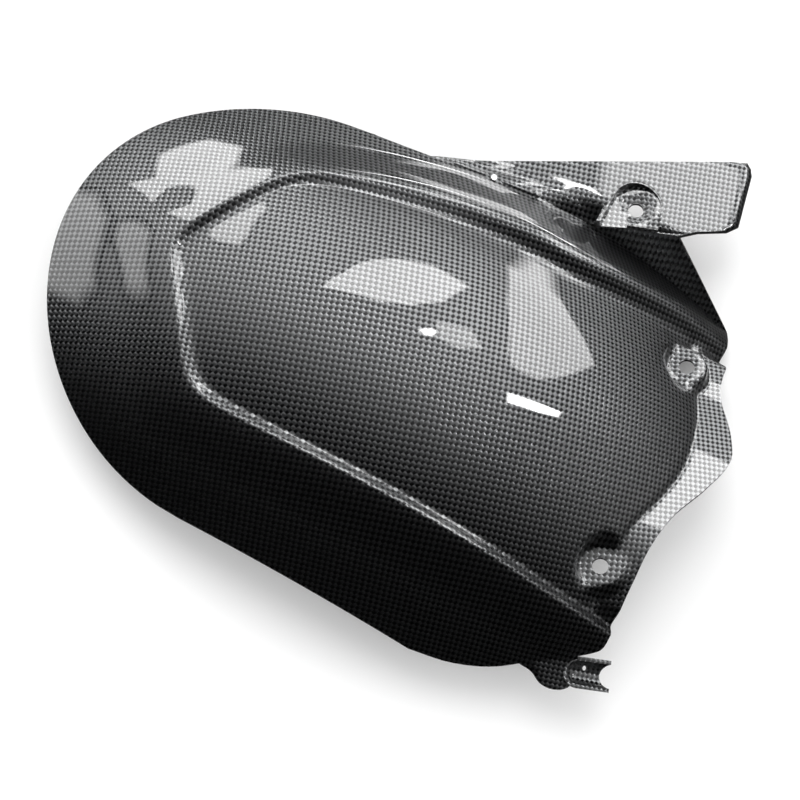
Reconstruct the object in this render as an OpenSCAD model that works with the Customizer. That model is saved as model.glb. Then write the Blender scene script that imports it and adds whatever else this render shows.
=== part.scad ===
// Rear hugger mudguard: one carbon fibre moulding that follows the top of a rear tyre.
// X points to the mounting end, Y to the chain side, Z away from the wheel.
// The shell rests on its rim, with the origin at the bottom centre of its bounding box.

/* [Wheel arc] */
// Radius of the shell's crown from the wheel axle
wheel_r = 345; // [325:1:370]
// Radius of the crown across the tyre
crown_r = 148; // [138:1:170]
// Half width over which the crown stays round on the hose side, before the skirt runs on straight
crown_run = 100; // [85:1:110]
// The same on the chain side
left_crown_run = 74; // [70:1:95]
// Thickness of the moulding
wall = 2; // [1.6:0.1:2.6]

/* [Outline] */
// Length from the top of the arc back to the nose tip
nose_reach = 192; // [180:1:200]
// Length over which the nose rounds off
nose_round = 121; // [100:1:135]
// Squareness of the nose, where 2 is an ellipse
nose_power = 2; // [1.9:0.05:2.6]
// Skew of the nose towards the chain side
nose_skew = 7; // [0:0.5:9]
// Half width of the shell on the hose side
right_w = 114.5; // [105:0.5:122]
// Half width of the shell on the chain side, at the nose
left_w = 111; // [108:1:122]
// Extra width on the chain side, at the mounting end
left_flare = 25.5; // [15:0.5:26]

/* [Sunken panel] */
// Depth of the panel floor under the crown
floor_drop = 1.5; // [0.5:0.1:3]
// Radius of the panel's corners
panel_corner = 5; // [3:0.5:8]
// Height of the ridge round the rear of the panel
rear_ridge_h = 3; // [2:0.1:5]
// Height of the ridge on the chain side, at the mounting end
left_ridge_h = 9; // [6:0.5:11]
// Height of the ridge on the hose side, at the mounting end
right_ridge_h = 6; // [4:0.5:8]
// Width of the wall between the floor and the ridge
ridge_wall_w = 6.5; // [5:0.5:9]
// Width of that wall on the chain side, at the mounting end
left_wall_w = 13; // [9:0.5:15]
// Width over which a ridge fades out into the shell
ridge_fade = 26; // [20:1:32]

/* [Mounting end] */
// Drop of the end flange below the panel
flange_drop = 3; // [1.5:0.5:5]
// Rise of the flange towards its edge, as a slope
flange_slope = 0.25; // [0.1:0.05:0.4]
// Width of the step between panel and flange
flange_step_w = 4; // [3:0.5:6]
// Diameter of the screw holes
screw_d = 8.3; // [6:0.1:9]
// Radius of the flat pad round a screw hole
pad_r = 9; // [7.5:0.5:10]
// Width of the slope round a pad
pad_fade = 7; // [5:0.5:9]
// Lean of the screw axes towards the nose, in degrees
screw_lean = 22; // [15:1:28]
// Distance of the screws in front of the top of the arc
screw_x = 129; // [125:0.5:132]
// Place of the hose side screw across the shell
right_screw_y = -35; // [-38:0.5:-32]
// Place of the chain side screw across the shell
left_screw_y = 90; // [87:0.5:93]

/* [Chain guard plate] */
// Rise of the plate towards the mounting end, in degrees
plate_rise = 3; // [0:0.5:8]
// Depth of the plate's surface below the top of the arc, at its screw
plate_depth = 48.4; // [45:0.2:52]
// Width over which the plate rolls up out of the shell's rim
plate_blend = 12; // [8:1:16]
// Height of the downturned lip along the plate's end and lower edge
plate_lip_h = 4.5; // [3:0.5:6]
// Width of the lip at the plate's end
end_lip_w = 5.5; // [4:0.5:7]
// Width of the lip along the plate's lower edge
lower_lip_w = 3; // [2:0.5:4]
// Distance of the plate's screw in front of the top of the arc
plate_screw_x = 64.5; // [62:0.5:67]
// Place of the plate's screw across the shell
plate_screw_y = 152.5; // [150:0.5:155]
// Radius of the sunken seat round the plate's screw
seat_r = 13.5; // [12:0.5:14.5]
// Lean of the seat and its screw towards the nose, in degrees
seat_lean = 16; // [10:1:20]
// Radius of the recess for the screw's washer
washer_r = 8; // [6.5:0.5:9]
// Depth of the recess for the screw's washer
washer_depth = 1; // [0.6:0.1:1.4]

/* [Hose guide] */
// Radius of the hose that the trough holds
hose_r = 6; // [5:0.1:6.6]
// Length of the trough
trough_len = 17; // [14:0.5:20]
// Direction of the trough from straight forward, in degrees
trough_turn = 21; // [15:1:27]
// Diameter of the hole for a cable tie
tie_d = 2.6; // [2:0.1:3.4]

/* [Hidden] */
carbon = "#1d1e20";

// Edge of the panel floor on the chain side and on the hose side, as [x, y]
left_floor_edge = [[-140, 30], [-97, 57], [-37, 76], [10, 86], [50, 91], [90, 100], [120, 106], [170, 112]];
right_floor_edge = [[-140, -58], [-60, -59], [20, -57], [70, -56], [113, -56], [170, -54]];
// Point where the panel's two rear edges meet, and the directions they face
panel_tip = [-131, -2];
rear_left_dir = 152;
rear_right_dir = 216.5;

// Foot of the step between panel and flange, as [y, x]
flange_line = [
    [right_screw_y - 25, screw_x + 6],
    [right_screw_y + 21, screw_x + 2],
    [right_screw_y + 43, screw_x + 9],
    [30, screw_x + 15],
    [50, screw_x + 15.5],
    [left_screw_y - 25, screw_x + 14],
    [left_screw_y - 10, screw_x + 10],
    [left_screw_y + 5, screw_x + 3],
    [left_screw_y + 40, screw_x - 9]
];
// Trimmed edge of the mounting end, as [y, x]
front_edge = [
    [-right_w, screw_x - 62],
    [-right_w + 4, screw_x - 42],
    [-right_w + 12, screw_x - 22],
    [-right_w + 24, screw_x - 5],
    [-right_w + 44, screw_x + 22],
    [right_screw_y - 27, screw_x + 23],
    [right_screw_y - 15, screw_x + 20],
    [right_screw_y, screw_x + 18],
    [right_screw_y + 20, screw_x + 17],
    [right_screw_y + 40, screw_x + 21],
    [29, screw_x + 32],
    [50, screw_x + 39],
    [62, screw_x + 36.5],
    [72, screw_x + 32],
    [left_screw_y - 9, screw_x + 26.5],
    [left_screw_y + 1, screw_x + 22.5],
    [left_screw_y + 15, screw_x + 22],
    [left_w + left_flare, screw_x + 21]
];

function clamp01(t) = min(1, max(0, t));
function ease(t) = let(c = clamp01(t)) c * c * (3 - 2 * c);
function mix(a, b, t) = a + (b - a) * t;
function slope_at(pts, i) =
    let(a = max(0, i - 1), b = min(len(pts) - 1, i + 1))
    (pts[b][1] - pts[a][1]) / (pts[b][0] - pts[a][0]);
function span_at(pts, x, i = 0) =
    i >= len(pts) - 2 || x < pts[i + 1][0] ? i : span_at(pts, x, i + 1);
// Height of a smooth curve through pts at x
function curve(pts, x) =
    let(
        c = min(pts[len(pts) - 1][0], max(pts[0][0], x)),
        i = span_at(pts, c),
        w = pts[i + 1][0] - pts[i][0],
        t = (c - pts[i][0]) / w,
        m0 = slope_at(pts, i) * w,
        m1 = slope_at(pts, i + 1) * w
    )
    (2 * t ^ 3 - 3 * t ^ 2 + 1) * pts[i][1] + (t ^ 3 - 2 * t ^ 2 + t) * m0
    + (3 * t ^ 2 - 2 * t ^ 3) * pts[i + 1][1] + (t ^ 3 - t ^ 2) * m1;

// Fall of the crown from its centre line to y
function crown_fall(y) =
    let(run = y > 0 ? left_crown_run : crown_run, a = min(abs(y), run), chord = sqrt(crown_r ^ 2 - run ^ 2))
    crown_r - sqrt(crown_r ^ 2 - a ^ 2) + (abs(y) - a) * run / chord;
function crown_z(x, y) = sqrt((wheel_r - crown_fall(y)) ^ 2 - x ^ 2) - wheel_r;

// Distance in front of a line through p that faces the direction dir
function ahead(x, y, p, dir) = (x - p[0]) * cos(dir) + (y - p[1]) * sin(dir);
function panel_edges(x, y) = [
    ahead(x, y, panel_tip, rear_left_dir),
    ahead(x, y, panel_tip, rear_right_dir),
    (y - curve(left_floor_edge, x)) * cos(15),
    curve(right_floor_edge, x) - y
];
// Distance outside the panel floor, with rounded corners, negative on the floor
function panel_dist(x, y) =
    let(d = panel_edges(x, y), m = max(d))
    m + panel_corner * ln(exp((d[0] - m) / panel_corner) + exp((d[1] - m) / panel_corner)
    + exp((d[2] - m) / panel_corner) + exp((d[3] - m) / panel_corner));
// The ridges rise and their walls widen between these places along the shell, and change from one side to
// the other between these places across it
ridge_rise = [-140, 60];
ridge_sides = [-40, 40];
wall_rise = [-130, -20];
wall_sides = [20, 70];
function between(v, span) = ease((v - span[0]) / (span[1] - span[0]));
function ridge_h(x, y) =
    let(
        along = between(x, ridge_rise),
        left = mix(rear_ridge_h, left_ridge_h, along),
        right = mix(rear_ridge_h, right_ridge_h, along)
    )
    mix(right, left, between(y, ridge_sides));
function ridge_wall(x, y) =
    mix(ridge_wall_w, left_wall_w, between(y, wall_sides) * between(x, wall_rise));
function panel_z(x, y) =
    let(d = panel_dist(x, y), w = ridge_wall(x, y), h = ridge_h(x, y))
    d < w ? mix(-floor_drop, h, ease(d / w)) : h * (1 - ease((d - w) / ridge_fade));
function body_z(x, y) = crown_z(x, y) + panel_z(x, y);

function flange_z(x, y) =
    let(foot = curve(flange_line, y))
    body_z(foot, y) - flange_drop + flange_slope * (x - foot);
// Share of the flange in the surface: it fades in and out beside the ridges
flange_in = [-58, -48];
flange_out = [114, 104];
function flange_share(x, y) =
    ease((x - curve(flange_line, y) + flange_step_w / 4) / flange_step_w)
    * between(y, flange_in) * between(y, flange_out);

right_pad_drop = 3;
left_pad_lift = 2;
right_pad = [screw_x, right_screw_y, body_z(screw_x, right_screw_y) - right_pad_drop];
left_pad = [screw_x, left_screw_y, body_z(screw_x, left_screw_y) + left_pad_lift];
function pad_share(x, y, pad) = 1 - ease((norm([x - pad[0], y - pad[1]]) - pad_r) / pad_fade);
function pad_plane_z(x, pad) = pad[2] + tan(screw_lean) * (x - pad[0]);
function with_pad(z, x, y, pad) = mix(z, pad_plane_z(x, pad), pad_share(x, y, pad));
// Height of the outer surface over the plan point x, y
function shell_z(x, y) =
    let(z = mix(body_z(x, y), flange_z(x, y), flange_share(x, y)))
    with_pad(with_pad(z, x, y, right_pad), x, y, left_pad);

// Places on the chain side rim where the plate starts, where the web starts and where the plate ends
plate_tail_x = -46;
web_start_x = 46;
plate_leave_x = 90;

// Rows run along the shell. Each is a share of the half width, -1 on the hose side rim to 1 on the
// chain side rim. The rows of the chain side ridge turn outwards with it.
ridge_q = [0.49, 0.79];
ridge_q_end = 0.9;
function left_ridge_q(u) = mix(ridge_q[0], ridge_q[1], clamp01(u / ridge_q_end));
right_rows = [
    -1, -0.98, -0.94, -0.88, -0.82, -0.795, -0.77, -0.745, -0.72, -0.695, -0.67,
    -0.64, -0.61, -0.58, -0.555, -0.53, -0.505, -0.475
];
panel_rows = [-0.44, -0.4, -0.36, -0.325, -0.29, -0.25, -0.2];
ridge_rows = [-0.26, -0.21, -0.17, -0.14, -0.11, -0.08, -0.05, -0.02, 0.01, 0.04, 0.065, 0.09, 0.115, 0.14];
middle_rows = 6;
rim_rows = [0.2, 0.4, 0.6, 0.8, 0.93, 1];
function last_of(v) = v[len(v) - 1];
function row_shares(u) =
    let(q = left_ridge_q(u), panel_end = last_of(panel_rows), ridge_end = q + last_of(ridge_rows))
    concat(
        right_rows,
        panel_rows,
        [for (i = [1 : middle_rows]) mix(panel_end, q + ridge_rows[0], i / (middle_rows + 1))],
        [for (r = ridge_rows) q + r],
        [for (r = rim_rows) mix(ridge_end, 1, r)]
    );
// Columns run across it. A share below 0 lies behind the panel's rear edge, and one above 0 in front.
nose_columns = [-1, -0.84, -0.68, -0.53, -0.4, -0.3, -0.22, -0.165, -0.12, -0.08, -0.04];
rim_places = [
    -46, -36, -26, -16, -5, 6, 17, 28, 38, web_start_x, 50, 54, 57, 60, 66, 72, 78, 84, plate_leave_x, 98, 108
];
flange_columns = [for (i = [0 : 10]) mix(0.84, 1, i / 10)];
// The hose guide's lobe hangs from the trimmed edge as more columns, between two of the rows
lobe_rows = [4, 10];
lobe_columns = [0.3, 0.6, 0.85, 1];

function nose_x(q) =
    nose_round * (1 - (1 - min(1, abs(q)) ^ nose_power) ^ (1 / nose_power))
    - nose_reach - nose_skew * q;
// The panel's rear column bends forward towards both rims, by a straight and a curved part
rear_bend = [60, 25];
function panel_rear_x(q) = panel_tip[0] + rear_bend[0] * abs(q) + rear_bend[1] * abs(q) ^ 3;
function rim_y(q) = q * (q > 0 ? left_w + left_flare : right_w);
flare_run = [-95, 85];
function half_w(x, q) = q > 0 ? left_w + left_flare * between(x, flare_run) : right_w;
function plan_point(u, q) =
    let(
        rear = panel_rear_x(q),
        x = u < 0 ? mix(rear, nose_x(q), -u) : mix(rear, curve(front_edge, rim_y(q)), u)
    )
    [x, q * half_w(x, q)];
function shell_point(u, q) = let(p = plan_point(u, q)) [p[0], p[1], shell_z(p[0], p[1])];

function unit(v) = v / norm(v);
// Grid point that stands for i, j. A column repeats its last point after the row where it ends, and the
// lobe's columns repeat the point of the trimmed edge outside the lobe's rows.
function home(last, i, j) =
    let(k = min(j, last[i]), on_lobe = k > lobe_rows[0] && k < lobe_rows[1])
    i <= edge_column || on_lobe ? [i, k] : [edge_column, k];
function at(g, i, j) =
    let(c = min(len(g) - 1, max(0, i)))
    g[c][min(len(g[c]) - 1, max(0, j))];
// Outward direction at a grid point, from its neighbours
function grid_normal(g, h) =
    unit(cross(
        at(g, h[0] + 1, h[1]) - at(g, h[0] - 1, h[1]),
        at(g, h[0], h[1] + 1) - at(g, h[0], h[1] - 1)
    ));
function inner_grid(g, last, t) = [
    for (i = [0 : len(g) - 1])
        [for (j = [0 : len(g[0]) - 1]) g[i][j] - t * grid_normal(g, home(last, i, j))]
];
function no_repeats(v) = [for (i = [0 : len(v) - 1]) if (v[i] != v[(i + 1) % len(v)]) v[i]];
// Closed sheet of thickness t under the grid of points g
module sheet(g, last, t) {
    n = len(g);
    m = len(g[0]);
    lower = inner_grid(g, last, t);
    points = concat([for (row = g) each row], [for (row = lower) each row]);
    under = n * m;
    function id(i, j) = let(h = home(last, i, j)) h[0] * m + h[1];
    cells = [
        for (i = [0 : n - 2], j = [0 : m - 2])
            each [
                [id(i, j), id(i + 1, j + 1), id(i + 1, j)],
                [id(i, j), id(i, j + 1), id(i + 1, j + 1)]
            ]
    ];
    top = [for (f = cells) if (f[0] != f[1] && f[1] != f[2] && f[2] != f[0]) f];
    bottom = [for (f = top) [f[2] + under, f[1] + under, f[0] + under]];
    rim = no_repeats(concat(
        [for (j = [0 : m - 1]) id(0, j)],
        [for (i = [1 : n - 1]) id(i, m - 1)],
        [for (j = [m - 2 : -1 : 0]) id(n - 1, j)],
        [for (i = [n - 2 : -1 : 1]) id(i, 0)]
    ));
    k = len(rim);
    side = [
        for (i = [0 : k - 1])
            let(a = rim[i], b = rim[(i + 1) % k])
            each [[a, a + under, b + under], [a, b + under, b]]
    ];
    polyhedron(points, concat(top, bottom, side), convexity = 6);
}

// The chain guard plate leaves the shell's rim between the places plate_tail_x and web_start_x. In front of
// them a web runs from the rim to the plate, and past plate_leave_x on to the corner of the mounting end.
function rim_half(x) = half_w(x, 1);
function rim_z(x) = shell_z(x, rim_half(x));
function line_at(pts, x) =
    let(i = span_at(pts, x), t = clamp01((x - pts[i][0]) / (pts[i + 1][0] - pts[i][0])))
    mix(pts[i][1], pts[i + 1][1], t);
function plate_plane_z(x) = tan(plate_rise) * (x - plate_screw_x) - plate_depth;
plate_leave = [plate_screw_x + 26.5, plate_screw_y - 3.5];
plate_corner = [plate_screw_x + 42.5, plate_screw_y + 57];
plate_cut_corner = [plate_screw_x + 48.5, plate_screw_y + 52.5];
plate_end = [plate_screw_x + 54.5, plate_screw_y + 21];
plate_tail = [plate_tail_x, rim_half(plate_tail_x)];
edge_share = 0.87;
// Free edge of the plate for a place on the rim, as [place, [x, y]]
plate_edge = [
    [plate_tail_x, plate_tail],
    [web_start_x, mix(plate_tail, plate_corner, edge_share)],
    [54, plate_corner],
    [60, plate_cut_corner],
    [72, plate_end],
    [78, [plate_screw_x + 50, plate_screw_y + 14.5]],
    [84, [plate_screw_x + 36, plate_screw_y + 5.5]],
    [plate_leave_x, plate_leave]
];
// Width and drop of the lip along that edge
plate_lip_w = [[50, lower_lip_w], [60, end_lip_w], [72, end_lip_w], [80, lower_lip_w]];
plate_lip_drop = [[50, 0], [58, plate_lip_h]];

web_foot = [web_start_x + 1.5, rim_half(web_start_x) + 1.5];
// The plate rolls up over this share of its width, and tighter between these places on the rim
roll_share = 0.35;
roll_tightens = [10, 46];
// Fold between web and plate for a place on the rim, where it leaves the rim only by the roll of the plate
function fold_point(x) =
    x < web_start_x
    ? let(
        root = [x, rim_half(x)],
        edge = line_at(plate_edge, x),
        run = norm(edge - root),
        roll = mix(min(roll_share * run, plate_blend), wall, between(x, roll_tightens)),
        p = root + roll * unit(edge - root)
    )
    [p[0], p[1], mix(rim_z(x), plate_plane_z(p[0]), ease(roll / plate_blend))]
    : x < plate_leave_x
    ? let(
        t = (x - web_start_x) / (plate_leave_x - web_start_x),
        p = mix(web_foot, plate_leave, t)
    )
    [p[0], p[1], mix(rim_z(web_start_x), plate_plane_z(plate_leave[0]), t)]
    : let(
        t = (x - plate_leave_x) / (rim_front_x - plate_leave_x),
        corner = [rim_front_x, rim_half(rim_front_x), rim_z(rim_front_x)]
    )
    mix([plate_leave[0], plate_leave[1], plate_plane_z(plate_leave[0])], corner, t);

web_rows = [0.33, 0.67, 1];
plate_rows = [0.2, 0.45, 0.75, 1];
lip_rows = [0.35, 0.65, 0.88, 1];
function plate_points(x) =
    let(
        fold = fold_point(x),
        root = [fold[0], fold[1]],
        edge = line_at(plate_edge, x),
        lip_w = min(line_at(plate_lip_w, x), norm(edge - root) / 2),
        lip_root = edge - lip_w * unit(edge - root),
        flat = [for (t = plate_rows) mix(root, lip_root, t)],
        plate = [
            for (p = flat)
                [p[0], p[1], mix(fold[2], plate_plane_z(p[0]), ease(norm(p - root) / plate_blend))]
        ],
        lip = [
            for (e = lip_rows)
                let(p = mix(lip_root, edge, e), sink = line_at(plate_lip_drop, x) * (1 - sqrt(1 - e ^ 2)))
                [p[0], p[1], mix(fold[2], plate_plane_z(p[0]), ease(norm(p - root) / plate_blend)) - sink]
        ]
    )
    concat(plate, lip);
function repeat(p, n) = [for (i = [1 : n]) p];
beyond = len(web_rows) + len(plate_rows) + len(lip_rows);
// Points of a column beyond the rim, repeating the last one where the column ends earlier
function beyond_rim(u) =
    let(rim = shell_point(u, 1), x = rim[0], fold = fold_point(x))
    u <= 0 || u >= 1 ? repeat(rim, beyond)
    : concat(
        [for (t = web_rows) mix(rim, fold, t)],
        x >= plate_leave_x - 0.01 ? repeat(fold, beyond - len(web_rows)) : plate_points(x)
    );
function last_row(u) =
    let(shell_last = len(row_shares(u)) - 1)
    u <= 0 || u >= 1 ? shell_last
    : rim_x(u) >= plate_leave_x - 0.01 ? shell_last + len(web_rows)
    : shell_last + beyond;
function rim_x(u) = plan_point(u, 1)[0];

rim_front_x = curve(front_edge, rim_y(1));
panel_columns = [for (x = rim_places) (x - panel_rear_x(1)) / (rim_front_x - panel_rear_x(1))];
column_shares = concat(nose_columns, panel_columns, flange_columns);
edge_column = len(column_shares) - 1;

// Free edge of the hose guide's lobe, one point for each row inside lobe_rows, below the trimmed edge
lobe_drop = 5;
guide_y = right_screw_y - 48;
lobe_z = shell_z(curve(front_edge, guide_y), guide_y) - lobe_drop;
lobe_edge = [
    [screw_x - 1.5, right_screw_y - 59, lobe_z],
    [screw_x + 5, right_screw_y - 62, lobe_z],
    [screw_x + 12.5, right_screw_y - 61.5, lobe_z],
    [screw_x + 19, right_screw_y - 57, lobe_z],
    [screw_x + 21, right_screw_y - 48.5, lobe_z]
];
function lobe_point(edge, j, t) =
    j > lobe_rows[0] && j < lobe_rows[1] ? mix(edge[j], lobe_edge[j - lobe_rows[0] - 1], t) : edge[j];

shell_grid = [
    for (u = column_shares)
        concat([for (q = row_shares(u)) shell_point(u, q)], beyond_rim(u))
];
trimmed_edge = shell_grid[edge_column];
outer_grid = concat(
    shell_grid,
    [for (t = lobe_columns) [for (j = [0 : len(trimmed_edge) - 1]) lobe_point(trimmed_edge, j, t)]]
);
last_rows = concat([for (u = column_shares) last_row(u)], [for (t = lobe_columns) last_row(1)]);

// Sunken seat of the plate's screw, open towards the web
seat_front_x = plate_screw_x + seat_r;
seat_floor_z = plate_plane_z(seat_front_x) - tan(seat_lean) * seat_r;
seat_pos = [plate_screw_x, plate_screw_y, seat_floor_z];
seat_left_run = 19;
seat_right_run = 6;
seat_depth = 20;
seat_sink = 0.3;
above_size = 60;
module seat_plan(r) {
    circle(r, $fn = 32);
    polygon([[-r, 0], [-r, -seat_left_run], [r, -seat_right_run], [r, 0]]);
}
module at_seat() translate(seat_pos) rotate([0, -seat_lean, 0]) children();
module above_plate()
    translate([plate_screw_x, plate_screw_y, -plate_depth - seat_sink])
    rotate([0, -plate_rise, 0])
    translate([-above_size / 2, -above_size / 2, 0]) cube([above_size, above_size, seat_depth]);
module seat_cup() difference() {
    at_seat() {
        translate([0, 0, -wall]) linear_extrude(seat_depth) seat_plan(seat_r + wall);
        translate([0, 0, -wall - washer_depth]) cylinder(r = washer_r + wall, h = wall, $fn = 32);
    }
    at_seat() linear_extrude(seat_depth) seat_plan(seat_r);
    above_plate();
    at_seat() {
        translate([0, 0, -washer_depth]) cylinder(r = washer_r, h = seat_depth, $fn = 32);
        cylinder(d = screw_d, h = seat_depth, center = true, $fn = 32);
    }
}
module seat_hole() at_seat()
    translate([0, 0, -wall / 2]) linear_extrude(seat_depth) seat_plan(seat_r + wall / 2);

// Raised beads, a stud and a peg along the plate's root, at these places on the rim
bead_w = 2.6;
bead_h = 1.8;
bead_out = 1.8;
bead_spans = [[-34, -18], [-7, 10]];
stud_x = -12.5;
stud_w = 3.6;
stud_h = 2.4;
peg_x = 11.5;
peg_h = 3;
// Point in the middle of the plate's wall, at a distance from the rim
function root_point(x, out = bead_out) =
    let(
        root = [x, rim_half(x)],
        away = unit(line_at(plate_edge, x) - root),
        fold = fold_point(x),
        roll = norm([fold[0], fold[1]] - root),
        p = root + out * away,
        z = out < roll
            ? mix(rim_z(x), fold[2], out / roll)
            : mix(fold[2], plate_plane_z(p[0]), ease((out - roll) / plate_blend))
    )
    [p[0], p[1], z - wall / 2];
module bead(span) hull() for (x = span)
    translate(root_point(x)) cylinder(d = bead_w, h = bead_h, $fn = 16);
module beads() {
    for (span = bead_spans) bead(span);
    translate(root_point(stud_x)) cylinder(d = stud_w, h = stud_h, $fn = 16);
    translate(root_point(peg_x, 2 * bead_out)) cylinder(d = bead_w, h = peg_h, $fn = 16);
}

// Half round trough of the hose guide: its domed rear end is set in the lobe, and its front end has two
// teeth and a hole for a cable tie
trough_lift = 3;
trough_pos = [screw_x + 19.6, guide_y, lobe_z + trough_lift];
trough_notch_r = hose_r + 0.8;
trough_notch_past = 3;
tie_side = 3;
tie_along = 5;
cut_past = 1;
module at_trough() translate(trough_pos) rotate(trough_turn) children();
module domed_round(r, h) rotate([0, 90, 0]) rotate_extrude($fn = 32)
    polygon(concat([for (a = [0 : 22.5 : 90]) [r * sin(a), -r * cos(a)]], [[r, h], [0, h]]));
module trough() at_trough() difference() {
    domed_round(hose_r + wall, trough_len);
    domed_round(hose_r, trough_len + cut_past);
    translate([-2 * hose_r, -2 * hose_r, 0]) cube([trough_len + 4 * hose_r, 4 * hose_r, 2 * hose_r]);
    translate([trough_len + trough_notch_past, 0, -2 * hose_r])
        cylinder(r = trough_notch_r, h = 4 * hose_r, $fn = 32);
    translate([tie_along, tie_side, -2 * hose_r]) cylinder(d = tie_d, h = 2 * hose_r, $fn = 32);
}

module screw_bore(pad) translate(pad) rotate([0, -screw_lean, 0])
    cylinder(d = screw_d, h = 8 * wall, center = true, $fn = 32);
module shell() difference() {
    sheet(outer_grid, last_rows, wall);
    screw_bore(right_pad);
    screw_bore(left_pad);
    seat_hole();
    at_trough() domed_round(hose_r + wall / 2, trough_len);
}

// The origin is the bottom centre of the bounding box
lower_grid = inner_grid(outer_grid, last_rows, wall);
all_points = [for (grid = [outer_grid, lower_grid], row = grid) each row];
tooth_x = trough_pos[0] + trough_len * cos(trough_turn) + (hose_r + wall) * sin(trough_turn);
x_min = min([for (p = all_points) p[0]]);
x_max = max(tooth_x, max([for (p = all_points) p[0]]));
y_min = min([for (p = all_points) p[1]]);
y_max = max([for (p = all_points) p[1]]);
z_min = min([for (p = all_points) p[2]]);
origin = [(x_min + x_max) / 2, (y_min + y_max) / 2, z_min];

module hugger() color(carbon) translate(-origin) {
    shell();
    seat_cup();
    beads();
    trough();
}

hugger();
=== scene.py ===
"""Rear hugger mudguard in lacquered carbon fibre, on a white studio floor."""
import math
from types import SimpleNamespace

import bmesh
import bpy
import numpy as np
from bpy.props import FloatProperty, FloatVectorProperty, PointerProperty
from mathutils import Matrix, Vector


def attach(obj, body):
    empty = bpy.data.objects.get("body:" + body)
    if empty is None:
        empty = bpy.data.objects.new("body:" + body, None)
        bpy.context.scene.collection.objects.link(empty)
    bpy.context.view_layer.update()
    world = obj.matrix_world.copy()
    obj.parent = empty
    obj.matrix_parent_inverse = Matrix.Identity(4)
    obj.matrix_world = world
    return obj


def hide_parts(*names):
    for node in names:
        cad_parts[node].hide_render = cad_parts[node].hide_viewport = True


bl_info = {
    "name": "Rear hugger mudguard",
    "version": (1, 0, 0),
    "blender": (4, 5, 0),
    "location": "View3D > Sidebar > Mudguard",
    "description": "Builds the woven shell, its screw seat and hose guide, and the studio",
    "category": "Object",
}

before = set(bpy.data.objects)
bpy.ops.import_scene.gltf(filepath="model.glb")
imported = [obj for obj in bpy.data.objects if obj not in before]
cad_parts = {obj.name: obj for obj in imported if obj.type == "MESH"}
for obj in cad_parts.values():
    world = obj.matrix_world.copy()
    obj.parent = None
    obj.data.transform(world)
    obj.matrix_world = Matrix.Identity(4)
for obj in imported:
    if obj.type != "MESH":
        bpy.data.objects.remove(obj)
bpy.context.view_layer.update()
MM = 0.001

# Sizes of the moulding in millimetres and degrees, in the wheel's frame: X to the mounting end, Y to the
# chain side, Z away from the wheel, and zero at the top of the arc. The shared frame starts at ORIGIN.
ORIGIN = np.array([-12.4278, 47.5, -94.5151])
WHEEL_R = 345.0
CROWN_R = 148.0
CROWN_RUN = 100.0
LEFT_CROWN_RUN = 74.0
WALL = 2.0
RIGHT_W = 114.5
LEFT_W = 111.0
LEFT_FLARE = 25.5
FLARE_RUN = (-95, 85)
NOSE_REACH = 192.0
NOSE_ROUND = 121.0
NOSE_SKEW = 7.0
SCREW_X = 129.0
RIGHT_SCREW_Y = -35.0
LEFT_SCREW_Y = 90.0
SCREW_D = 8.3
SCREW_LEAN = 22.0
PAD_R = 9.0
PAD_FADE = 7.0
RIGHT_PAD_LIFT = -3.0
LEFT_PAD_LIFT = 2.0
FLANGE_DROP = 3.0
FLANGE_SLOPE = 0.25
FLANGE_STEP = 4.0
FLANGE_IN = (-58, -48)
FLANGE_OUT = (114, 104)
PLATE_SCREW = (64.5, 152.5)
PLATE_DEPTH = 48.4
PLATE_RISE = 3.0
PLATE_BLEND = 12.0
SEAT_R = 13.5
SEAT_LEAN = 16.0
WASHER_R = 8.0
WASHER_DEPTH = 1.6
HOSE_R = 6.0
TROUGH_POS = (148.6, -83.0, -56.76)
TROUGH_LEN = 17.0
TROUGH_TURN = 21.0
TIE_D = 2.6

# The sunken panel: its rear tip and the ways its two rear edges face, the turn of its chain side edge, the
# round of its corners, and the heights and widths of the ridges, which grow between places along and across
PANEL_TIP = (-131.0, -2.0)
REAR_WAYS = (152.0, 216.5)
LEFT_EDGE_TURN = 15.0
PANEL_CORNER = 5.0
REAR_RIDGE_H = 3.0
RIDGE_WALL_W = 6.5
LEFT_WALL_W = 13.0
RIDGE_FADE = 26.0
RIDGE_RISE = (-140, 60)
RIDGE_SIDES = (-40, 40)
WALL_RISE = (-130, -20)
WALL_SIDES = (20, 70)

# Edges of the panel floor as (x, y), and foot of the flange's step and trimmed edge of the end as (y, x)
LEFT_FLOOR_EDGE = [(-140, 30), (-97, 57), (-37, 76), (10, 86), (50, 91), (90, 100), (120, 106), (170, 112)]
RIGHT_FLOOR_EDGE = [(-140, -58), (-60, -59), (20, -57), (70, -56), (113, -56), (170, -54)]
FLANGE_LINE = [
    (-60, 135), (-14, 131), (8, 138), (30, 144), (50, 144.5), (65, 143), (80, 139), (95, 132), (130, 120),
]
FRONT_EDGE = [
    (-RIGHT_W, 67), (-RIGHT_W + 4, 87), (-RIGHT_W + 12, 107), (-RIGHT_W + 24, 124), (-RIGHT_W + 44, 151),
    (-62, 152), (-50, 149), (-35, 147), (-15, 146), (5, 150), (29, 161), (50, 168), (62, 165.5), (72, 161),
    (81, 155.5), (91, 151.5), (105, 151), (LEFT_W + LEFT_FLARE, 150),
]


def clamp01(t):
    return np.clip(t, 0.0, 1.0)


def ease(t):
    c = clamp01(t)
    return c * c * (3 - 2 * c)


def mix(a, b, t):
    return a + (b - a) * t


def between(v, span):
    """Smooth rise from 0 to 1 from the start of a span to its end."""
    return ease((v - span[0]) / (span[1] - span[0]))


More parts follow.
